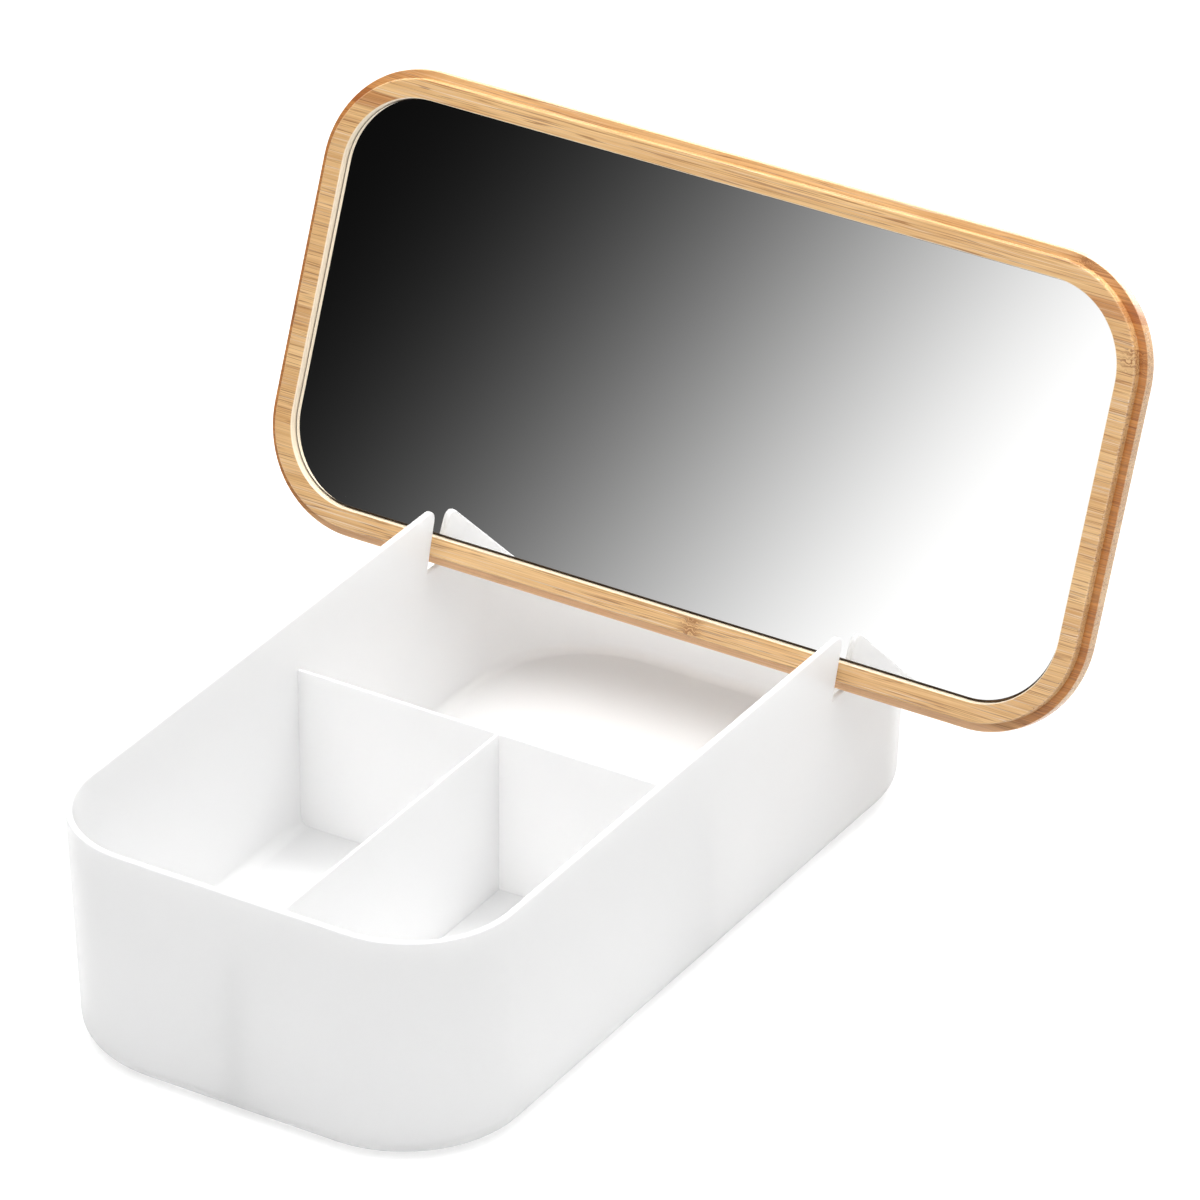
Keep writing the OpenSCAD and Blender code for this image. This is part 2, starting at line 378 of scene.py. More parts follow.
def finish_piece(obj, material, body, nodes):
    """Gives a finished piece its material, its CAD body and the nodes it stands for"""
    if material is not None:
        obj.data.materials.clear()
        obj.data.materials.append(material)
    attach(obj, body)
    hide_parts(*nodes)
    select_only()


# ---------------------------------------------------------------- helpers for materials

def new_material(name):
    material = bpy.data.materials.new(name)
    material.use_nodes = True
    material.node_tree.nodes.clear()
    return material


def node(tree, kind, place, **settings):
    """Adds a node; settings are its properties, and inputs a dict of socket values"""
    inputs = settings.pop("inputs", {})
    made = tree.nodes.new(kind)
    made.location = place
    for key, value in settings.items():
        setattr(made, key, value)
    for key, value in inputs.items():
        made.inputs[key].default_value = value
    return made


def wire(tree, source, output, target, socket):
    tree.links.new(source.outputs[output], target.inputs[socket])


def feed(tree, socket, value):
    """Sets a socket to a value, or wires another socket into it"""
    if isinstance(value, bpy.types.NodeSocket):
        tree.links.new(value, socket)
    else:
        socket.default_value = value


def maths(tree, operation, *values, place=(0, 0)):
    """One step of arithmetic on numbers or sockets"""
    made = node(tree, "ShaderNodeMath", place, operation=operation)
    for socket, value in zip(made.inputs, values):
        feed(tree, socket, value)
    return made.outputs[0]


def combine(tree, x, y, z, place):
    made = node(tree, "ShaderNodeCombineXYZ", place)
    for socket, value in zip(made.inputs, (x, y, z)):
        feed(tree, socket, value)
    return made.outputs[0]


def noise(tree, vector, scale, detail, place):
    made = node(tree, "ShaderNodeTexNoise", place, inputs={"Scale": scale, "Detail": detail})
    tree.links.new(vector, made.inputs["Vector"])
    return made.outputs["Fac"]


def ramp(tree, value, start, end, low, high, place, smooth=False):
    """Carries a value from the range start..end over to low..high"""
    made = node(tree, "ShaderNodeMapRange", place)
    made.interpolation_type = "SMOOTHSTEP" if smooth else "LINEAR"
    for socket, number in zip(made.inputs, (value, start, end, low, high)):
        feed(tree, socket, number)
    return made.outputs[0]


def blend(tree, factor, first, second, place, kind="MIX"):
    """Mixes two colours, given as three numbers or as sockets"""
    made = node(tree, "ShaderNodeMixRGB", place, blend_type=kind)
    feed(tree, made.inputs[0], factor)
    for socket, value in ((made.inputs[1], first), (made.inputs[2], second)):
        feed(tree, socket, value if isinstance(value, bpy.types.NodeSocket) else colour(value))
    return made.outputs[0]


def colour(rgb):
    return (*rgb, 1.0)


def mix_shaders(tree, factor, first, second, place):
    """Mixes two shader nodes by a number or a socket"""
    made = node(tree, "ShaderNodeMixShader", place)
    feed(tree, made.inputs["Fac"], factor)
    tree.links.new(first.outputs[0], made.inputs[1])
    tree.links.new(second.outputs[0], made.inputs[2])
    return made


def show(tree, shader, place, kind="Material"):
    """Wires a shader node to the output of a material or the world"""
    out = node(tree, f"ShaderNodeOutput{kind}", place)
    tree.links.new(shader.outputs[0], out.inputs["Surface"])


def seen_or_mirrored(tree, place):
    """1 where the camera or a shiny surface looks, 0 for the light itself"""
    path = node(tree, "ShaderNodeLightPath", place)
    return maths(tree, "MAXIMUM", path.outputs["Is Camera Ray"], path.outputs["Is Glossy Ray"],
                 place=(place[0] + 200, place[1]))


def handling_group():
    """Faint smears of a touched surface, as a roughness"""
    if "Handling" in bpy.data.node_groups:
        return bpy.data.node_groups["Handling"]
    tree = bpy.data.node_groups.new("Handling", "ShaderNodeTree")
    for title, kind, default in (("Vector", "Vector", None), ("Smear Scale", "Float", 30.0),
                                 ("Least Roughness", "Float", 0.2), ("Most Roughness", "Float", 0.3)):
        socket = tree.interface.new_socket(title, in_out="INPUT", socket_type=f"NodeSocket{kind}")
        if default is not None:
            socket.default_value = default
    tree.interface.new_socket("Roughness", in_out="OUTPUT", socket_type="NodeSocketFloat")
    start, end = node(tree, "NodeGroupInput", (-900, 0)), node(tree, "NodeGroupOutput", (0, 0))
    smear = node(tree, "ShaderNodeTexNoise", (-600, 150), inputs={"Detail": 4.0, "Distortion": 0.6})
    spread = node(tree, "ShaderNodeMapRange", (-300, 150), inputs={"From Min": 0.35, "From Max": 0.68})
    for source, output, target, socket in (
            (start, "Vector", smear, "Vector"), (start, "Smear Scale", smear, "Scale"),
            (smear, "Fac", spread, "Value"), (start, "Least Roughness", spread, "To Min"),
            (start, "Most Roughness", spread, "To Max"), (spread, "Result", end, "Roughness")):
        wire(tree, source, output, target, socket)
    return tree


def handle(tree, surface, smear_scale, least, most):
    """Gives a shader the smears of handling; returns the object's own coordinates"""
    own = node(tree, "ShaderNodeTexCoord", (-900, 0)).outputs["Object"]
    touch = node(tree, "ShaderNodeGroup", (-500, 0), node_tree=handling_group(), inputs={
        "Smear Scale": smear_scale, "Least Roughness": least, "Most Roughness": most})
    tree.links.new(own, touch.inputs["Vector"])
    wire(tree, touch, "Roughness", surface, "Roughness")
    return own


def plastic_material():
    """White plastic, satin and a little translucent"""
    if "White Plastic" in bpy.data.materials:
        return bpy.data.materials["White Plastic"]
    finishes = bpy.context.scene.vanity_finishes
    material = new_material("White Plastic")
    tree = material.node_tree
    surface = node(tree, "ShaderNodeBsdfPrincipled", (0, 0), inputs={"IOR": 1.49})
    through = node(tree, "ShaderNodeBsdfTranslucent", (0, 250))
    own = handle(tree, surface, 18.0, 0.19, 0.25)
    flow = noise(tree, own, 9.0, 2.0, (-700, -250))
    tint = blend(tree, flow, Vector(finishes.plastic) * 0.99, finishes.plastic, (-350, -150))
    tree.links.new(tint, surface.inputs["Base Color"])
    tree.links.new(tint, through.inputs["Color"])
    show(tree, mix_shaders(tree, finishes.translucency, surface, through, (350, 0)), (550, 0))
    return material


def bamboo_material():
    """Bamboo strips, glued side by side along the board, under a clear lacquer"""
    finishes = bpy.context.scene.vanity_finishes
    lid = bpy.context.scene.vanity_lid
    material = new_material("Bamboo")
    tree = material.node_tree

    def calc(operation, *values, at):
        return maths(tree, operation, *values, place=at)

    place = node(tree, "ShaderNodeTexCoord", (-2600, 0))
    flat = node(tree, "ShaderNodeMapping", (-2400, 0), vector_type="TEXTURE")
    flat.inputs["Location"].default_value = lid.foot
    flat.inputs["Rotation"].default_value = (math.pi / 2 - lid.lean, 0, 0)
    wire(tree, place, "Object", flat, "Vector")
    board = node(tree, "ShaderNodeSeparateXYZ", (-2200, 0))
    wire(tree, flat, "Vector", board, "Vector")
    along, up, out_of = board.outputs

    # which strip a point is on, how far across it, and the strip's own shade
    waver = calc("SINE", calc("MULTIPLY", up, WAVER_RATE, at=(-2000, 300)), at=(-1850, 300))
    strips = calc("DIVIDE", calc("ADD", up, STRIP_START, at=(-2000, 100)), finishes.strip_width, at=(-1850, 100))
    strips = calc("MULTIPLY_ADD", waver, WAVER, strips, at=(-1700, 250))
    strip = calc("FLOOR", strips, at=(-1550, 300))
    across = calc("FRACT", strips, at=(-1550, 150))
    shade = calc("FRACT", calc("MULTIPLY", strip, SHADE_STEP, at=(-1400, 300)), at=(-1250, 300))
    shift = calc("MULTIPLY", strip, SHIFT_STEP, at=(-1250, 150))

    # each strip has a node of the cane somewhere along it, where its fibres swirl
    turn = calc("MULTIPLY_ADD", strip, KNOT_STEP, KNOT_START, at=(-1400, 500))
    turn = calc("FRACT", turn, at=(-1250, 500))
    away = calc("MULTIPLY_ADD", turn, KNOT_SPAN, -KNOT_SPAN / 2, at=(-1100, 500))
    away = calc("SUBTRACT", along, away, at=(-950, 500))
    away = calc("ABSOLUTE", away, at=(-800, 500))
    knot = ramp(tree, away, 0.0, KNOT_LENGTH, 1.0, 0.0, (-650, 500), smooth=True)
    swirl = noise(tree, flat.outputs["Vector"], SWIRL_RATE, 2.0, (-1100, 750))
    swirl = calc("MULTIPLY", calc("SUBTRACT", swirl, 0.5, at=(-950, 750)),
                 calc("MULTIPLY", knot, SWIRL, at=(-500, 600)), at=(-350, 700))
    bent = calc("ADD", up, swirl, at=(-200, 600))

    def fibres(long, wide, deep, detail, height):
        """Noise drawn out along the board; the numbers are its features per metre"""
        vector = combine(tree, calc("MULTIPLY_ADD", along, long, shift, at=(-100, height)),
                         calc("MULTIPLY", bent, wide, at=(-100, height - 60)),
                         calc("MULTIPLY", out_of, deep, at=(-100, height - 120)), (50, height))
        return noise(tree, vector, 1.0, detail, (200, height))

    fine = fibres(26.0, 2700.0, 900.0, 3.0, 300)
    edge = fibres(22.0, 500.0, 2600.0, 2.0, -200)
    cloud = fibres(14.0, 60.0, 60.0, 2.0, -450)
    grain = calc("MULTIPLY_ADD", fine, 0.7, calc("MULTIPLY", edge, 0.3, at=(400, 100)), at=(550, 250))
    pale = calc("MULTIPLY_ADD", cloud, 0.8, -0.36, at=(550, -400))
    pale = calc("MULTIPLY_ADD", shade, 0.42, pale, at=(700, -200))
    depth = calc("ADD", ramp(tree, grain, 0.38, 0.62, -0.15, 0.8, (850, 200)), pale, at=(1000, 100))
    face = blend(tree, depth, finishes.bamboo_light, finishes.bamboo_dark, (1150, 100))

    # thin dark lines, drawn like the contours of a slow noise, come and go along the fibres
    slow = calc("MULTIPLY", fibres(9.0, 400.0, 300.0, 3.0, 50), 7.5, at=(350, 50))
    lines = calc("PINGPONG", slow, 0.5, at=(500, 50))
    lines = ramp(tree, lines, 0.36, 0.45, 0.0, 1.0, (650, 50))
    lines = calc("MULTIPLY", lines, ramp(tree, fine, 0.42, 0.56, 0.2, 0.9, (650, -50)), at=(850, 0))
    face = blend(tree, lines, face, finishes.bamboo_fibre, (1300, 50))
    face = blend(tree, ramp(tree, fine, 0.56, 0.68, 0.0, 0.5, (1150, 250)), face, finishes.pale_and_sheen, (1350, 150))
    apart = calc("ABSOLUTE", calc("SUBTRACT", strip, DARK_STRIP, at=(850, 400)), at=(1000, 400))
    dark_strip = ramp(tree, apart, 0.0, 0.5, 1.0, 0.0, (1150, 400))
    dark = blend(tree, 1.0, face, DARK_STRIP_TINT, (1250, 300), "MULTIPLY")
    face = blend(tree, dark_strip, face, dark, (1400, 150))
    off_middle = calc("ABSOLUTE", calc("SUBTRACT", across, 0.5, at=(850, -300)), at=(1000, -300))
    glue = ramp(tree, off_middle, 0.465, 0.5, 0.0, 0.4, (1150, -300))
    face = blend(tree, glue, face, finishes.bamboo_fibre, (1450, 0))
    smear = calc("MULTIPLY", knot, ramp(tree, fine, 0.45, 0.55, 0.2, 0.9, (1300, -200)), at=(1450, -200))
    face = blend(tree, smear, face, finishes.bamboo_fibre, (1600, 0))

    # the cut ends are greyer on the outside; the ledge is browner, partly its own routed tone and partly painted
    # shade below the raised field; the chamfered corners and the pocket's walls get a pale painted highlight
    level_with = node(tree, "ShaderNodeMapping", (1300, -500), vector_type="TEXTURE")
    level_with.inputs["Rotation"].default_value = (math.pi / 2 - lid.lean, 0, 0)
    wire(tree, place, "Normal", level_with, "Vector")
    facing = node(tree, "ShaderNodeSeparateXYZ", (1450, -500))
    wire(tree, level_with, "Vector", facing, "Vector")
    end = ramp(tree, calc("ABSOLUTE", facing.outputs["X"], at=(1600, -400)), 0.45, 0.9, 0.0, 1.0, (1750, -400))
    # the pocket's walls, which face in towards the mirror, get a pale painted highlight
    inward = calc("SUBTRACT", up, lid.width / 2, at=(1450, -1450))
    inward = calc("MULTIPLY", facing.outputs["Y"], inward, at=(1600, -1450))
    inward = calc("MULTIPLY_ADD", facing.outputs["X"], along, inward, at=(1750, -1450))
    pocket = ramp(tree, inward, -0.03, -0.01, 0.85, 0.0, (1900, -1450))
    face = blend(tree, end, face, blend(tree, 1.0, face, finishes.end_grain, (1750, -150), "MULTIPLY"), (1900, 0))
    # the ledge beside the raised field on the side bars: its browner tone and painted shade from the step
    below_field = ramp(tree, out_of, 0.0002, 0.0009, 1.0, 0.0, (1600, -700))
    sides = ramp(tree, calc("ABSOLUTE", along, at=(1450, -850)), 0.1, 0.128, 0.0, 1.0, (1600, -850))
    ledge = calc("MULTIPLY", below_field, sides, at=(1750, -700))
    ledge = calc("MULTIPLY", ledge, calc("SUBTRACT", 1.0, end, at=(1750, -550)), at=(1900, -600))
    face = blend(tree, ledge, face, blend(tree, 1.0, face, finishes.routed_and_shaded, (1900, -250), "MULTIPLY"), (2050, 0))
    strokes = ramp(tree, fibres(60.0, 1300.0, 700.0, 2.0, -700), 0.52, 0.64, 0.0, 0.7, (1700, -1650))
    strokes = calc("MULTIPLY", ledge, strokes, at=(1900, -1650))
    face = blend(tree, strokes, face, finishes.bamboo_fibre, (2100, -50))
    face = blend(tree, pocket, face, finishes.pale_and_sheen, (2150, -150))
    # painted light on the bottom ledge and the lowest edge, which lie in the raised field's shade
    low = ramp(tree, up, 0.002, 0.004, 0.6, 0.0, (1600, -1150))
    low = calc("MULTIPLY", low, below_field, at=(1750, -1150))
    face = blend(tree, low, face, LOW_LEDGE_PAINTED_LIGHT, (2100, -100))
    # faces turned halfway out of the board, the chamfered corners, get a pale painted highlight
    corner = calc("ABSOLUTE", calc("SUBTRACT", facing.outputs["Z"], 0.7, at=(1600, -1000)), at=(1750, -1000))
    face = blend(tree, ramp(tree, corner, 0.08, 0.27, 0.7, 0.0, (1900, -1000)), face, finishes.pale_and_sheen, (2200, 0))
    path = node(tree, "ShaderNodeLightPath", (1900, 300))
    bounced = calc("MULTIPLY", path.outputs["Is Diffuse Ray"], BOUNCE, at=(2100, 250))
    face = blend(tree, bounced, face, BOUNCE_COLOUR, (2350, 100))

    bump = node(tree, "ShaderNodeBump", (2200, -300), inputs={"Strength": 0.25, "Distance": 0.00015})
    tree.links.new(grain, bump.inputs["Height"])
    surface = node(tree, "ShaderNodeBsdfPrincipled", (2550, 0), inputs={
        "IOR": 1.5, "Coat Weight": 0.5, "Coat Roughness": 0.16})
    tree.links.new(face, surface.inputs["Base Color"])
    tree.links.new(ramp(tree, grain, 0.35, 0.65, 0.38, 0.55, (2200, -150)), surface.inputs["Roughness"])
    wire(tree, bump, "Normal", surface, "Normal")
    show(tree, surface, (2850, 0))
    return material


def mirror_material():
    """The silvered face, seen through clean glass. To diffused light it is a plain white
    face, because that light's way over a mirror is not followed."""
    finishes = bpy.context.scene.vanity_finishes
    material = new_material("Mirror")
    tree = material.node_tree
    silver = colour(finishes.silver)
    surface = node(tree, "ShaderNodeBsdfPrincipled", (0, 0), inputs={"Base Color": silver, "Metallic": 1.0})
    white = node(tree, "ShaderNodeBsdfDiffuse", (0, -500), inputs={"Color": silver})
    path = node(tree, "ShaderNodeLightPath", (0, 400))
    handle(tree, surface, 14.0, 0.0, 0.02)
    show(tree, mix_shaders(tree, path.outputs["Is Diffuse Ray"], surface, white, (350, 100)), (550, 0))
    return material


def glass_edge_shade_material():
    """The ground edge of the mirror glass, painted dark brown as the shade in its narrow gap"""
    material = new_material("Glass Edge")
    tree = material.node_tree
    edge = colour(bpy.context.scene.vanity_finishes.glass_edge)
    surface = node(tree, "ShaderNodeBsdfPrincipled", (0, 0), inputs={"Base Color": edge, "IOR": 1.52})
    handle(tree, surface, 200.0, 0.15, 0.35)
    show(tree, surface, (350, 0))
    return material


def foam_material():
    """Grey foam of the adhesive tape"""
    foam = bpy.context.scene.vanity_finishes.foam
    material = new_material("Foam Tape")
    tree = material.node_tree
    place = node(tree, "ShaderNodeTexCoord", (-900, 0))
    cells = node(tree, "ShaderNodeTexVoronoi", (-600, 0), inputs={"Scale": 2600.0})
    bump = node(tree, "ShaderNodeBump", (-300, -200), inputs={"Strength": 0.5, "Distance": 0.0002})
    surface = node(tree, "ShaderNodeBsdfPrincipled", (0, 0), inputs={"Roughness": 0.85})
    tint = blend(tree, cells.outputs["Distance"], Vector(foam) * 0.8, foam, (-300, 100))
    wire(tree, place, "Object", cells, "Vector")
    wire(tree, cells, "Distance", bump, "Height")
    tree.links.new(tint, surface.inputs["Base Color"])
    wire(tree, bump, "Normal", surface, "Normal")
    show(tree, surface, (350, 0))
    return material


# ---------------------------------------------------------------- pieces

def corner_radius(sizes, z):
    """Radius of the tub's outer corner at height z, which grows towards the base"""
    return sizes.base_corner + (sizes.rim_corner - sizes.base_corner) * z / sizes.height


def base_inset(sizes, z):
    """How far the rounding at the base draws the outside in at height z"""
    down = max(sizes.base_round - z, 0)
    return sizes.base_round - math.sqrt(sizes.base_round ** 2 - down ** 2)


def depth_in(point, half_x, half_y, radius):
    """How far a point lies inside a rounded rectangle around the origin, in plan"""
    x, y = abs(point.x) - (half_x - radius), abs(point.y) - (half_y - radius)
    return radius - (math.hypot(x, y) if x > 0 and y > 0 else max(x, y))


def shape_ring(obj, sizes, ring, z):
    """Gives one level ring of the straight-sided tub its corner radius and the walls' draft"""
    mesh = bmesh.from_edit_mesh(obj.data)
    places = [v.co.copy() for v in mesh.verts if ring(v)]
    half_x, half_y = max(p.x for p in places), max(p.y for p in places)
    inset = sizes.width / 2 - half_x
    radius, wanted = sizes.rim_corner - inset, corner_radius(sizes, z) - inset
    for side_x in (-1, 1):
        for side_y in (-1, 1):
            pick(obj, "verts", lambda v: ring(v) and v.co.x * side_x > half_x - radius - 0.001
                 and v.co.y * side_y > half_y - radius - 0.001)
            bpy.ops.transform.resize(value=(wanted / radius, wanted / radius, 1),
                                     center_override=(side_x * half_x, side_y * half_y, 0))
    amount = sizes.draft * (1 - z / sizes.height)
    pick(obj, "verts", ring)
    bpy.ops.transform.resize(value=(1 - amount / half_x, 1 - amount / half_y, 1),
                             center_override=(0, 0, 0))


def shape_walls(obj, sizes):
    """Leans the walls in towards the base and widens their corners, ring by ring"""
    half_x, half_y = sizes.width / 2, sizes.length / 2

    def outside(v):
        return (depth_in(v.co, half_x, half_y, sizes.rim_corner)
                < base_inset(sizes, v.co.z) + sizes.wall / 2)

    mesh = bmesh.from_edit_mesh(obj.data)
    rings = {(round(v.co.z, 6), outside(v)) for v in mesh.verts if v.co.z < sizes.height - SLACK}
    members = {key: {v.index for v in mesh.verts if near(v.co.z, key[0], 2e-6) and outside(v) == key[1]}
               for key in rings}
    for (z, _), indices in members.items():
        shape_ring(obj, sizes, lambda v: v.index in indices, z)


def cut_slots(obj, sizes):
    """Cuts the leaning slot through both long walls"""
    low = sizes.height - sizes.slot_depth
    top = sizes.height + 0.01
    reach = sizes.width / 2 + 0.01
    cutter = add_block("slot_cutter", (-reach, sizes.slot_start, low),
                       (reach, sizes.slot_start + sizes.slot_width, top))
    pick(cutter, "verts", lambda v: near(v.co.z, top))
    bpy.ops.transform.translate(value=(0, (top - low) * math.tan(sizes.slot_lean), 0))
    to_object_mode(cutter)
    select_only(obj)
    cut = obj.modifiers.new("Slots", "BOOLEAN")
    cut.operation = "DIFFERENCE"
    cut.solver = "FAST"
    cut.object = cutter
    bpy.ops.object.modifier_apply(modifier=cut.name)
    bpy.data.objects.remove(cutter)


def across_wall(edge):
    """True for an edge that crosses a long wall from its outside to its inside"""
    a, b = (v.co for v in edge.verts)
    return abs(a.x - b.x) > 0.001 and near(a.y, b.y, 1e-4) and near(a.z, b.z, 1e-4)


def round_slots(obj, sizes):
    """Rounds the rim's corners beside the slots"""
    bpy.ops.object.mode_set(mode="EDIT")
    lean = math.tan(sizes.slot_lean) * sizes.slot_depth
    for place, angle in ((sizes.slot_start + lean, math.pi / 2 - sizes.slot_lean),
                         (sizes.slot_start + sizes.slot_width + lean, math.pi / 2 + sizes.slot_lean)):
        pick(obj, "edges", lambda e: across_wall(e) and level(e, sizes.height, 1e-4)
             and near(e.verts[0].co.y, place, 2e-4))
        bevel(sizes.slot_round / math.tan(angle / 2), 8)


def in_rim(face, sizes):
    """True for the faces that run along the rim and through the slots"""
    middle = face.calc_center_median()
    depth = depth_in(middle, sizes.width / 2, sizes.length / 2, sizes.rim_corner)
    return (middle.z > sizes.height - sizes.slot_depth - 1e-4
            and 0.3 * sizes.wall < depth < 0.7 * sizes.wall)


def build_tub(sizes):
    half_x, half_y, height = sizes.width / 2, sizes.length / 2, sizes.height
    obj = add_block("tub_shell", (-half_x, -half_y, 0), (half_x, half_y, height))
    round_corners(obj, sizes.rim_corner, TUB_CORNER_STEPS)
    pick(obj, "faces", lambda f: level(f, height))
    bpy.ops.mesh.inset(thickness=sizes.wall, use_even_offset=True)
    pick(obj, "faces", lambda f: level(f, height) and len(f.verts) > 8)
    extrude_up(sizes.floor - height)
    pick(obj, "edges", lambda e: level(e, 0))
    bevel(sizes.base_round, 8)
    pick(obj, "edges", lambda e: level(e, sizes.floor))
    bevel(sizes.inner_round, 6)
    shape_walls(obj, sizes)
    to_object_mode(obj)
    cut_slots(obj, sizes)
    round_slots(obj, sizes)
    pick(obj, "edges", lambda e: in_rim(e.link_faces[0], sizes) != in_rim(e.link_faces[1], sizes))
    bevel(sizes.rim_round, 3)
    to_object_mode(obj)
    smooth(obj)
    return obj


class VANITY_OT_tub(bpy.types.Operator):
    """Models the moulded tub with its two slots"""
    bl_idname = "vanity.add_tub"
    bl_label = "Add Tub"

    def execute(self, context):
        obj = build_tub(context.scene.vanity_tub)
        finish_piece(obj, plastic_material(), "tub", ["tub"])
        return {"FINISHED"}


def build_divider(name, sizes, low, high, axis, ends):
    """A plate on the tub's floor whose ends, -1 and 1 along the axis, follow the walls"""
    obj = add_block(name, low, high)
    for end in ends:
        reach = high[axis] if end > 0 else low[axis]
        for z in (low[2], high[2]):
            pick(obj, "verts", lambda v: near(v.co[axis], reach, 1e-4) and near(v.co.z, z))
            shift = Vector((0, 0, 0))
            shift[axis] = -end * sizes.draft * (1 - z / sizes.height)
            bpy.ops.transform.translate(value=shift)
        pick(obj, "edges", lambda e: level(e, low[2])
             and all(near(v.co[axis], reach, 0.001) for v in e.verts))
        bevel(sizes.inner_round, 6)
    pick(obj, "edges", lambda e: level(e, high[2]))
    bevel(sizes.divider_round, 3)
    to_object_mode(obj)
    smooth(obj)
    finish_piece(obj, plastic_material(), "tub", [name.replace("plate", "divider")])


class VANITY_OT_dividers(bpy.types.Operator):
    """Models the two dividers, across the tub and along its front part"""
    bl_idname = "vanity.add_dividers"
    bl_label = "Add Dividers"

    def execute(self, context):
        sizes = context.scene.vanity_tub
        half, gap = sizes.divider_thickness / 2, sizes.divider_gap
        bottom, top = sizes.floor + gap, sizes.divider_top
        reach_x = sizes.width / 2 - sizes.wall - gap
        reach_y = sizes.length / 2 - sizes.wall - gap
        build_divider("plate_cross", sizes, (-reach_x, -half, bottom), (reach_x, half, top), 0, (-1, 1))
        build_divider("plate_long", sizes, (-half, -reach_y, bottom), (half, -half - gap, top), 1, (-1,))
        return {"FINISHED"}


def stand_up(obj, lid):
    """Stands a piece that was modelled flat in the slots, leaning back, and applies its place"""
    obj.matrix_world = (Matrix.Translation(lid.foot)
                        @ Matrix.Rotation(math.pi / 2 - lid.lean, 4, "X")
                        @ Matrix.Translation((0, lid.width / 2, 0)))
    select_only(obj)
    bpy.ops.object.transform_apply(location=True, rotation=True, scale=True)


class VANITY_OT_lid_board(bpy.types.Operator):
    """Models the bamboo board with its ledge, its raised field and the mirror's pocket"""
    bl_idname = "vanity.add_lid_board"
    bl_label = "Add Lid Board"

    def execute(self, context):
        lid = context.scene.vanity_lid
        half_x, half_y = lid.length / 2, lid.width / 2
        obj = add_block("lid_panel", (-half_x, -half_y, -lid.edge), (half_x, half_y, 0))
        round_corners(obj, lid.corner, LID_CORNER_STEPS)
        pick(obj, "faces", lambda f: level(f, 0))
        bpy.ops.mesh.inset(thickness=lid.ledge, use_even_offset=True)
        pick(obj, "faces", lambda f: level(f, 0) and len(f.verts) > 8)
        extrude_up(lid.field)
        bpy.ops.mesh.inset(thickness=lid.frame, use_even_offset=True)
        pick(obj, "faces", lambda f: level(f, lid.field) and len(f.verts) > 8)
        pocket = lid.field - lid.recess - lid.glass - lid.tape
        extrude_up(pocket - lid.field)

        def on_line(edge, height, inside):
            """True for an edge that runs around the board at this height and depth"""
            return level(edge, height) and all(
                near(depth_in(v.co, half_x, half_y, lid.corner), inside, 2e-4) for v in edge.verts)

        pick(obj, "edges", lambda e: level(e, -lid.edge))
        bevel(lid.back_round, 7)
        for height, inside, width in ((0, 0, lid.chamfer / 2), (lid.field, lid.ledge, lid.chamfer),
                                      (lid.field, lid.ledge + lid.frame, lid.pocket_round)):
            pick(obj, "edges", lambda e: on_line(e, height, inside))
            bevel(width, 2)
        to_object_mode(obj)
        smooth(obj, 30)
        stand_up(obj, lid)
        finish_piece(obj, bamboo_material(), "lid", ["lid_board"])
        return {"FINISHED"}


class VANITY_OT_mirror(bpy.types.Operator):
    """Models the mirror glass with its fine ground edge"""
    bl_idname = "vanity.add_mirror"
    bl_label = "Add Mirror"

    def execute(self, context):
        lid = context.scene.vanity_lid
        inset = lid.ledge + lid.frame + lid.glass_gap
        half_x, half_y = lid.length / 2 - inset, lid.width / 2 - inset
        top = lid.field - lid.recess
        obj = add_block("mirror_glass", (-half_x, -half_y, top - lid.glass), (half_x, half_y, top))
        round_corners(obj, lid.corner - inset, LID_CORNER_STEPS)
        pick(obj, "verts", lambda v: True)
        bpy.ops.transform.translate(value=lid.glass_shift)
        pick(obj, "edges", lambda e: level(e, top))
        bevel(lid.glass_bevel, 2)
        to_object_mode(obj)
        smooth(obj, 30)
        stand_up(obj, lid)
        obj.data.materials.append(mirror_material())
        obj.data.materials.append(glass_edge_shade_material())
        for face in obj.data.polygons:
            face.material_index = 0 if len(face.vertices) > 8 else 1
        finish_piece(obj, None, "lid", ["mirror"])
        return {"FINISHED"}


class VANITY_OT_tapes(bpy.types.Operator):
    """Dresses the strips of foam tape behind the mirror"""
    bl_idname = "vanity.add_tapes"
    bl_label = "Add Tapes"

    def execute(self, context):
        foam = foam_material()
        for name, obj in frame["nodes"].items():
            if name.startswith("tape_"):
                obj.data.materials.clear()
                obj.data.materials.append(foam)
        return {"FINISHED"}


# ---------------------------------------------------------------- stage

def floor_material():
    """White floor that keeps the box's soft shadow"""
    material = new_material("Floor")
    tree = material.node_tree
    shade = node(tree, "ShaderNodeBsdfDiffuse", (-300, -100), inputs={"Color": (0.5, 0.5, 0.5, 1)})
    glow = node(tree, "ShaderNodeEmission", (-300, 100), inputs={"Color": (1, 1, 1, 1), "Strength": 0.6})
    both = node(tree, "ShaderNodeAddShader", (-50, 100))
    wire(tree, shade, "BSDF", both, 0)
    wire(tree, glow, "Emission", both, 1)
    show(tree, mix_shaders(tree, seen_or_mirrored(tree, (-600, 400)), shade, both, (150, 100)), (350, 100))
    return material


def add_lamp(name, place, aim, size, spread, in_gloss, power):
    lamp = bpy.data.lights.new(name, "AREA")
    lamp.shape = "DISK"
    lamp.size = size
    lamp.spread = math.radians(spread)
    lamp.energy = power
    obj = bpy.data.objects.new(name, lamp)
    obj.location = place
    obj.rotation_euler = (Vector(aim) - Vector(place)).to_track_quat("-Z", "Y").to_euler()
    obj.visible_glossy = in_gloss
    bpy.context.scene.collection.objects.link(obj)


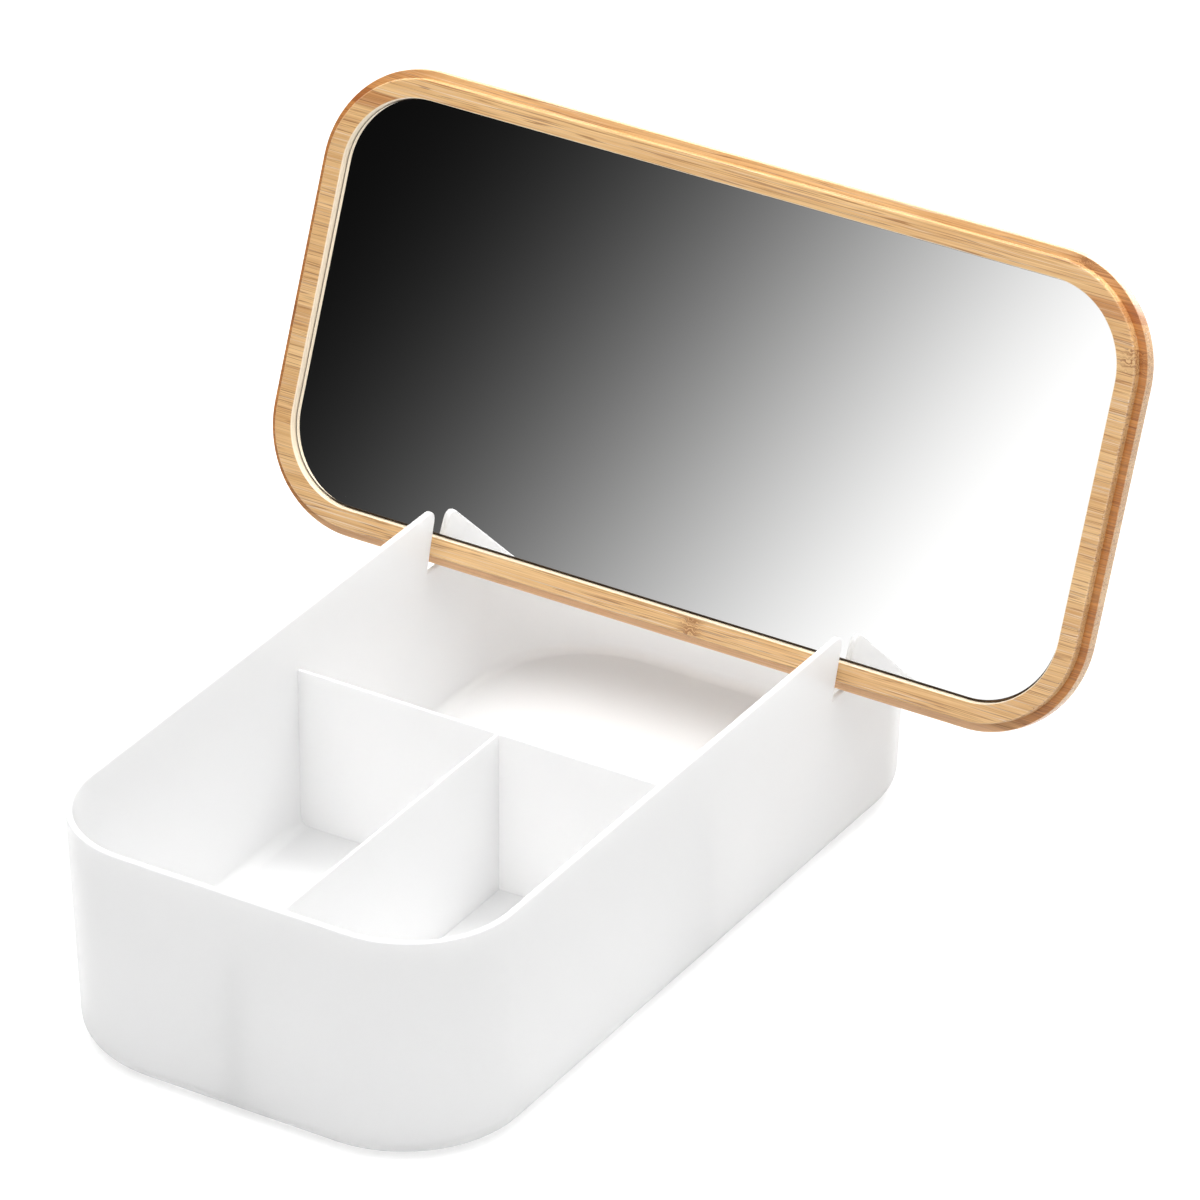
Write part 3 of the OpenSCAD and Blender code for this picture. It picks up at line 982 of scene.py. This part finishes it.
def screen_material(fade):
    """Goes from dark to white along the screen's own X, evenly to the eye"""
    material = new_material("Shaded Screen")
    tree = material.node_tree
    place = node(tree, "ShaderNodeTexCoord", (-1100, 0))
    split = node(tree, "ShaderNodeSeparateXYZ", (-900, 0))
    wire(tree, place, "Object", split, "Vector")
    tone = ramp(tree, split.outputs["X"], -fade / 2, fade / 2, 0.05, 1.07, (-700, 0), smooth=True)
    tone = maths(tree, "DIVIDE", maths(tree, "ADD", tone, 0.055, place=(-500, 0)), 1.055, place=(-350, 0))
    tone = maths(tree, "MINIMUM", maths(tree, "POWER", tone, 2.4, place=(-200, 0)), 1.0, place=(-50, 0))
    glow = node(tree, "ShaderNodeEmission", (100, 0), inputs={"Strength": 1.08})
    tree.links.new(blend(tree, tone, (0.0, 0.0, 0.0), (1.0, 1.0, 1.0), (0, -200)), glow.inputs["Color"])
    show(tree, glow, (350, 0))
    return material


def add_screen(settings, lid, camera):
    """Places the screen where the mirror shows it to the camera; it lights nothing"""
    stand = Matrix.Rotation(math.pi / 2 - lid.lean, 3, "X")
    facing = stand @ Vector((0, 0, 1))
    middle = Vector(lid.foot) + stand @ Vector((0, lid.width / 2, 0))
    view = camera.matrix_world.to_3x3()

    def mirrored(direction):
        return direction - 2 * direction.dot(facing) * facing

    sight = mirrored((middle - camera.matrix_world.translation).normalized())
    lighter = mirrored(view @ Vector((math.cos(settings.screen_turn), -math.sin(settings.screen_turn), 0)))
    lighter = (lighter - lighter.dot(sight) * sight).normalized()
    side = (-sight).cross(lighter)
    place = middle + sight * settings.screen_distance
    select_only()
    bpy.ops.mesh.primitive_plane_add(size=2.4)
    screen = bpy.context.active_object
    screen.name = "screen"
    screen.matrix_world = Matrix.Translation(place) @ Matrix((lighter, side, -sight)).transposed().to_4x4()
    screen.data.materials.append(screen_material(settings.screen_fade))
    screen.visible_camera = screen.visible_diffuse = screen.visible_shadow = False
    screen.visible_transmission = False


def add_camera(settings):
    lens = bpy.data.cameras.new("camera")
    lens.sensor_width = 36
    lens.lens = settings.lens
    lens.clip_start, lens.clip_end = 0.05, 100
    camera = bpy.data.objects.new("camera", lens)
    turn = (Matrix.Rotation(settings.azimuth, 4, "Z")
            @ Matrix.Rotation(math.pi / 2 - settings.elevation, 4, "X")
            @ Matrix.Rotation(settings.roll, 4, "Z"))
    camera.matrix_world = Matrix.Translation(settings.aim) @ turn @ Matrix.Translation((0, 0, settings.distance))
    bpy.context.scene.collection.objects.link(camera)
    bpy.context.scene.camera = camera
    return camera


def add_sky(strength):
    """An even light all around, white where the camera and the gloss see it"""
    scene = bpy.context.scene
    scene.world = scene.world or bpy.data.worlds.new("World")
    scene.world.use_nodes = True
    tree = scene.world.node_tree
    tree.nodes.clear()
    sky = node(tree, "ShaderNodeBackground", (-200, 0), inputs={"Color": (1, 1, 1, 1), "Strength": strength})
    white = node(tree, "ShaderNodeBackground", (-200, -150), inputs={"Color": (1, 1, 1, 1), "Strength": 1.0})
    show(tree, mix_shaders(tree, seen_or_mirrored(tree, (-600, 200)), sky, white, (50, 0)), (250, 0), "World")


class VANITY_OT_stage(bpy.types.Operator):
    """Adds the floor, the light, the camera and the screen that the mirror shows"""
    bl_idname = "vanity.add_stage"
    bl_label = "Add Stage"

    def execute(self, context):
        settings = context.scene.vanity_stage
        select_only()
        bpy.ops.mesh.primitive_plane_add(size=60, location=(0, 0, -0.0003))
        floor = context.active_object
        floor.name = "floor"
        floor.data.materials.append(floor_material())
        add_sky(settings.sky)
        for lamp in LAMPS:
            add_lamp(*lamp, power=getattr(settings, lamp[0]))
        add_screen(settings, context.scene.vanity_lid, add_camera(settings))
        context.scene.view_settings.view_transform = "Standard"
        return {"FINISHED"}


class VANITY_PT_box(bpy.types.Panel):
    """Lists the pieces of the box"""
    bl_label = "Vanity Box"
    bl_idname = "VANITY_PT_box"
    bl_space_type = "VIEW_3D"
    bl_region_type = "UI"
    bl_category = "Vanity Box"

    def draw(self, context):
        layout = self.layout
        for operator in OPERATORS:
            layout.operator(operator.bl_idname)
        for title, group in (("Tub", context.scene.vanity_tub), ("Lid", context.scene.vanity_lid),
                             ("Finishes", context.scene.vanity_finishes), ("Stage", context.scene.vanity_stage)):
            box = layout.box()
            box.label(text=title)
            for name in group.__annotations__:
                box.prop(group, name)


OPERATORS = (VANITY_OT_tub, VANITY_OT_dividers, VANITY_OT_lid_board, VANITY_OT_mirror,
             VANITY_OT_tapes, VANITY_OT_stage)
GROUPS = {"vanity_tub": TubSizes, "vanity_lid": LidSizes,
          "vanity_finishes": Finishes, "vanity_stage": StageSettings}


def register():
    for name, group in GROUPS.items():
        bpy.utils.register_class(group)
        setattr(bpy.types.Scene, name, bpy.props.PointerProperty(type=group))
    for operator in OPERATORS:
        bpy.utils.register_class(operator)
    bpy.utils.register_class(VANITY_PT_box)


def unregister():
    bpy.utils.unregister_class(VANITY_PT_box)
    for operator in reversed(OPERATORS):
        bpy.utils.unregister_class(operator)
    for name, group in reversed(GROUPS.items()):
        delattr(bpy.types.Scene, name)
        bpy.utils.unregister_class(group)


def main():
    register()
    bpy.ops.vanity.add_tub()
    bpy.ops.vanity.add_dividers()
    bpy.ops.vanity.add_lid_board()
    bpy.ops.vanity.add_mirror()
    bpy.ops.vanity.add_tapes()
    bpy.ops.vanity.add_stage()


if __name__ == "__main__":
    main()
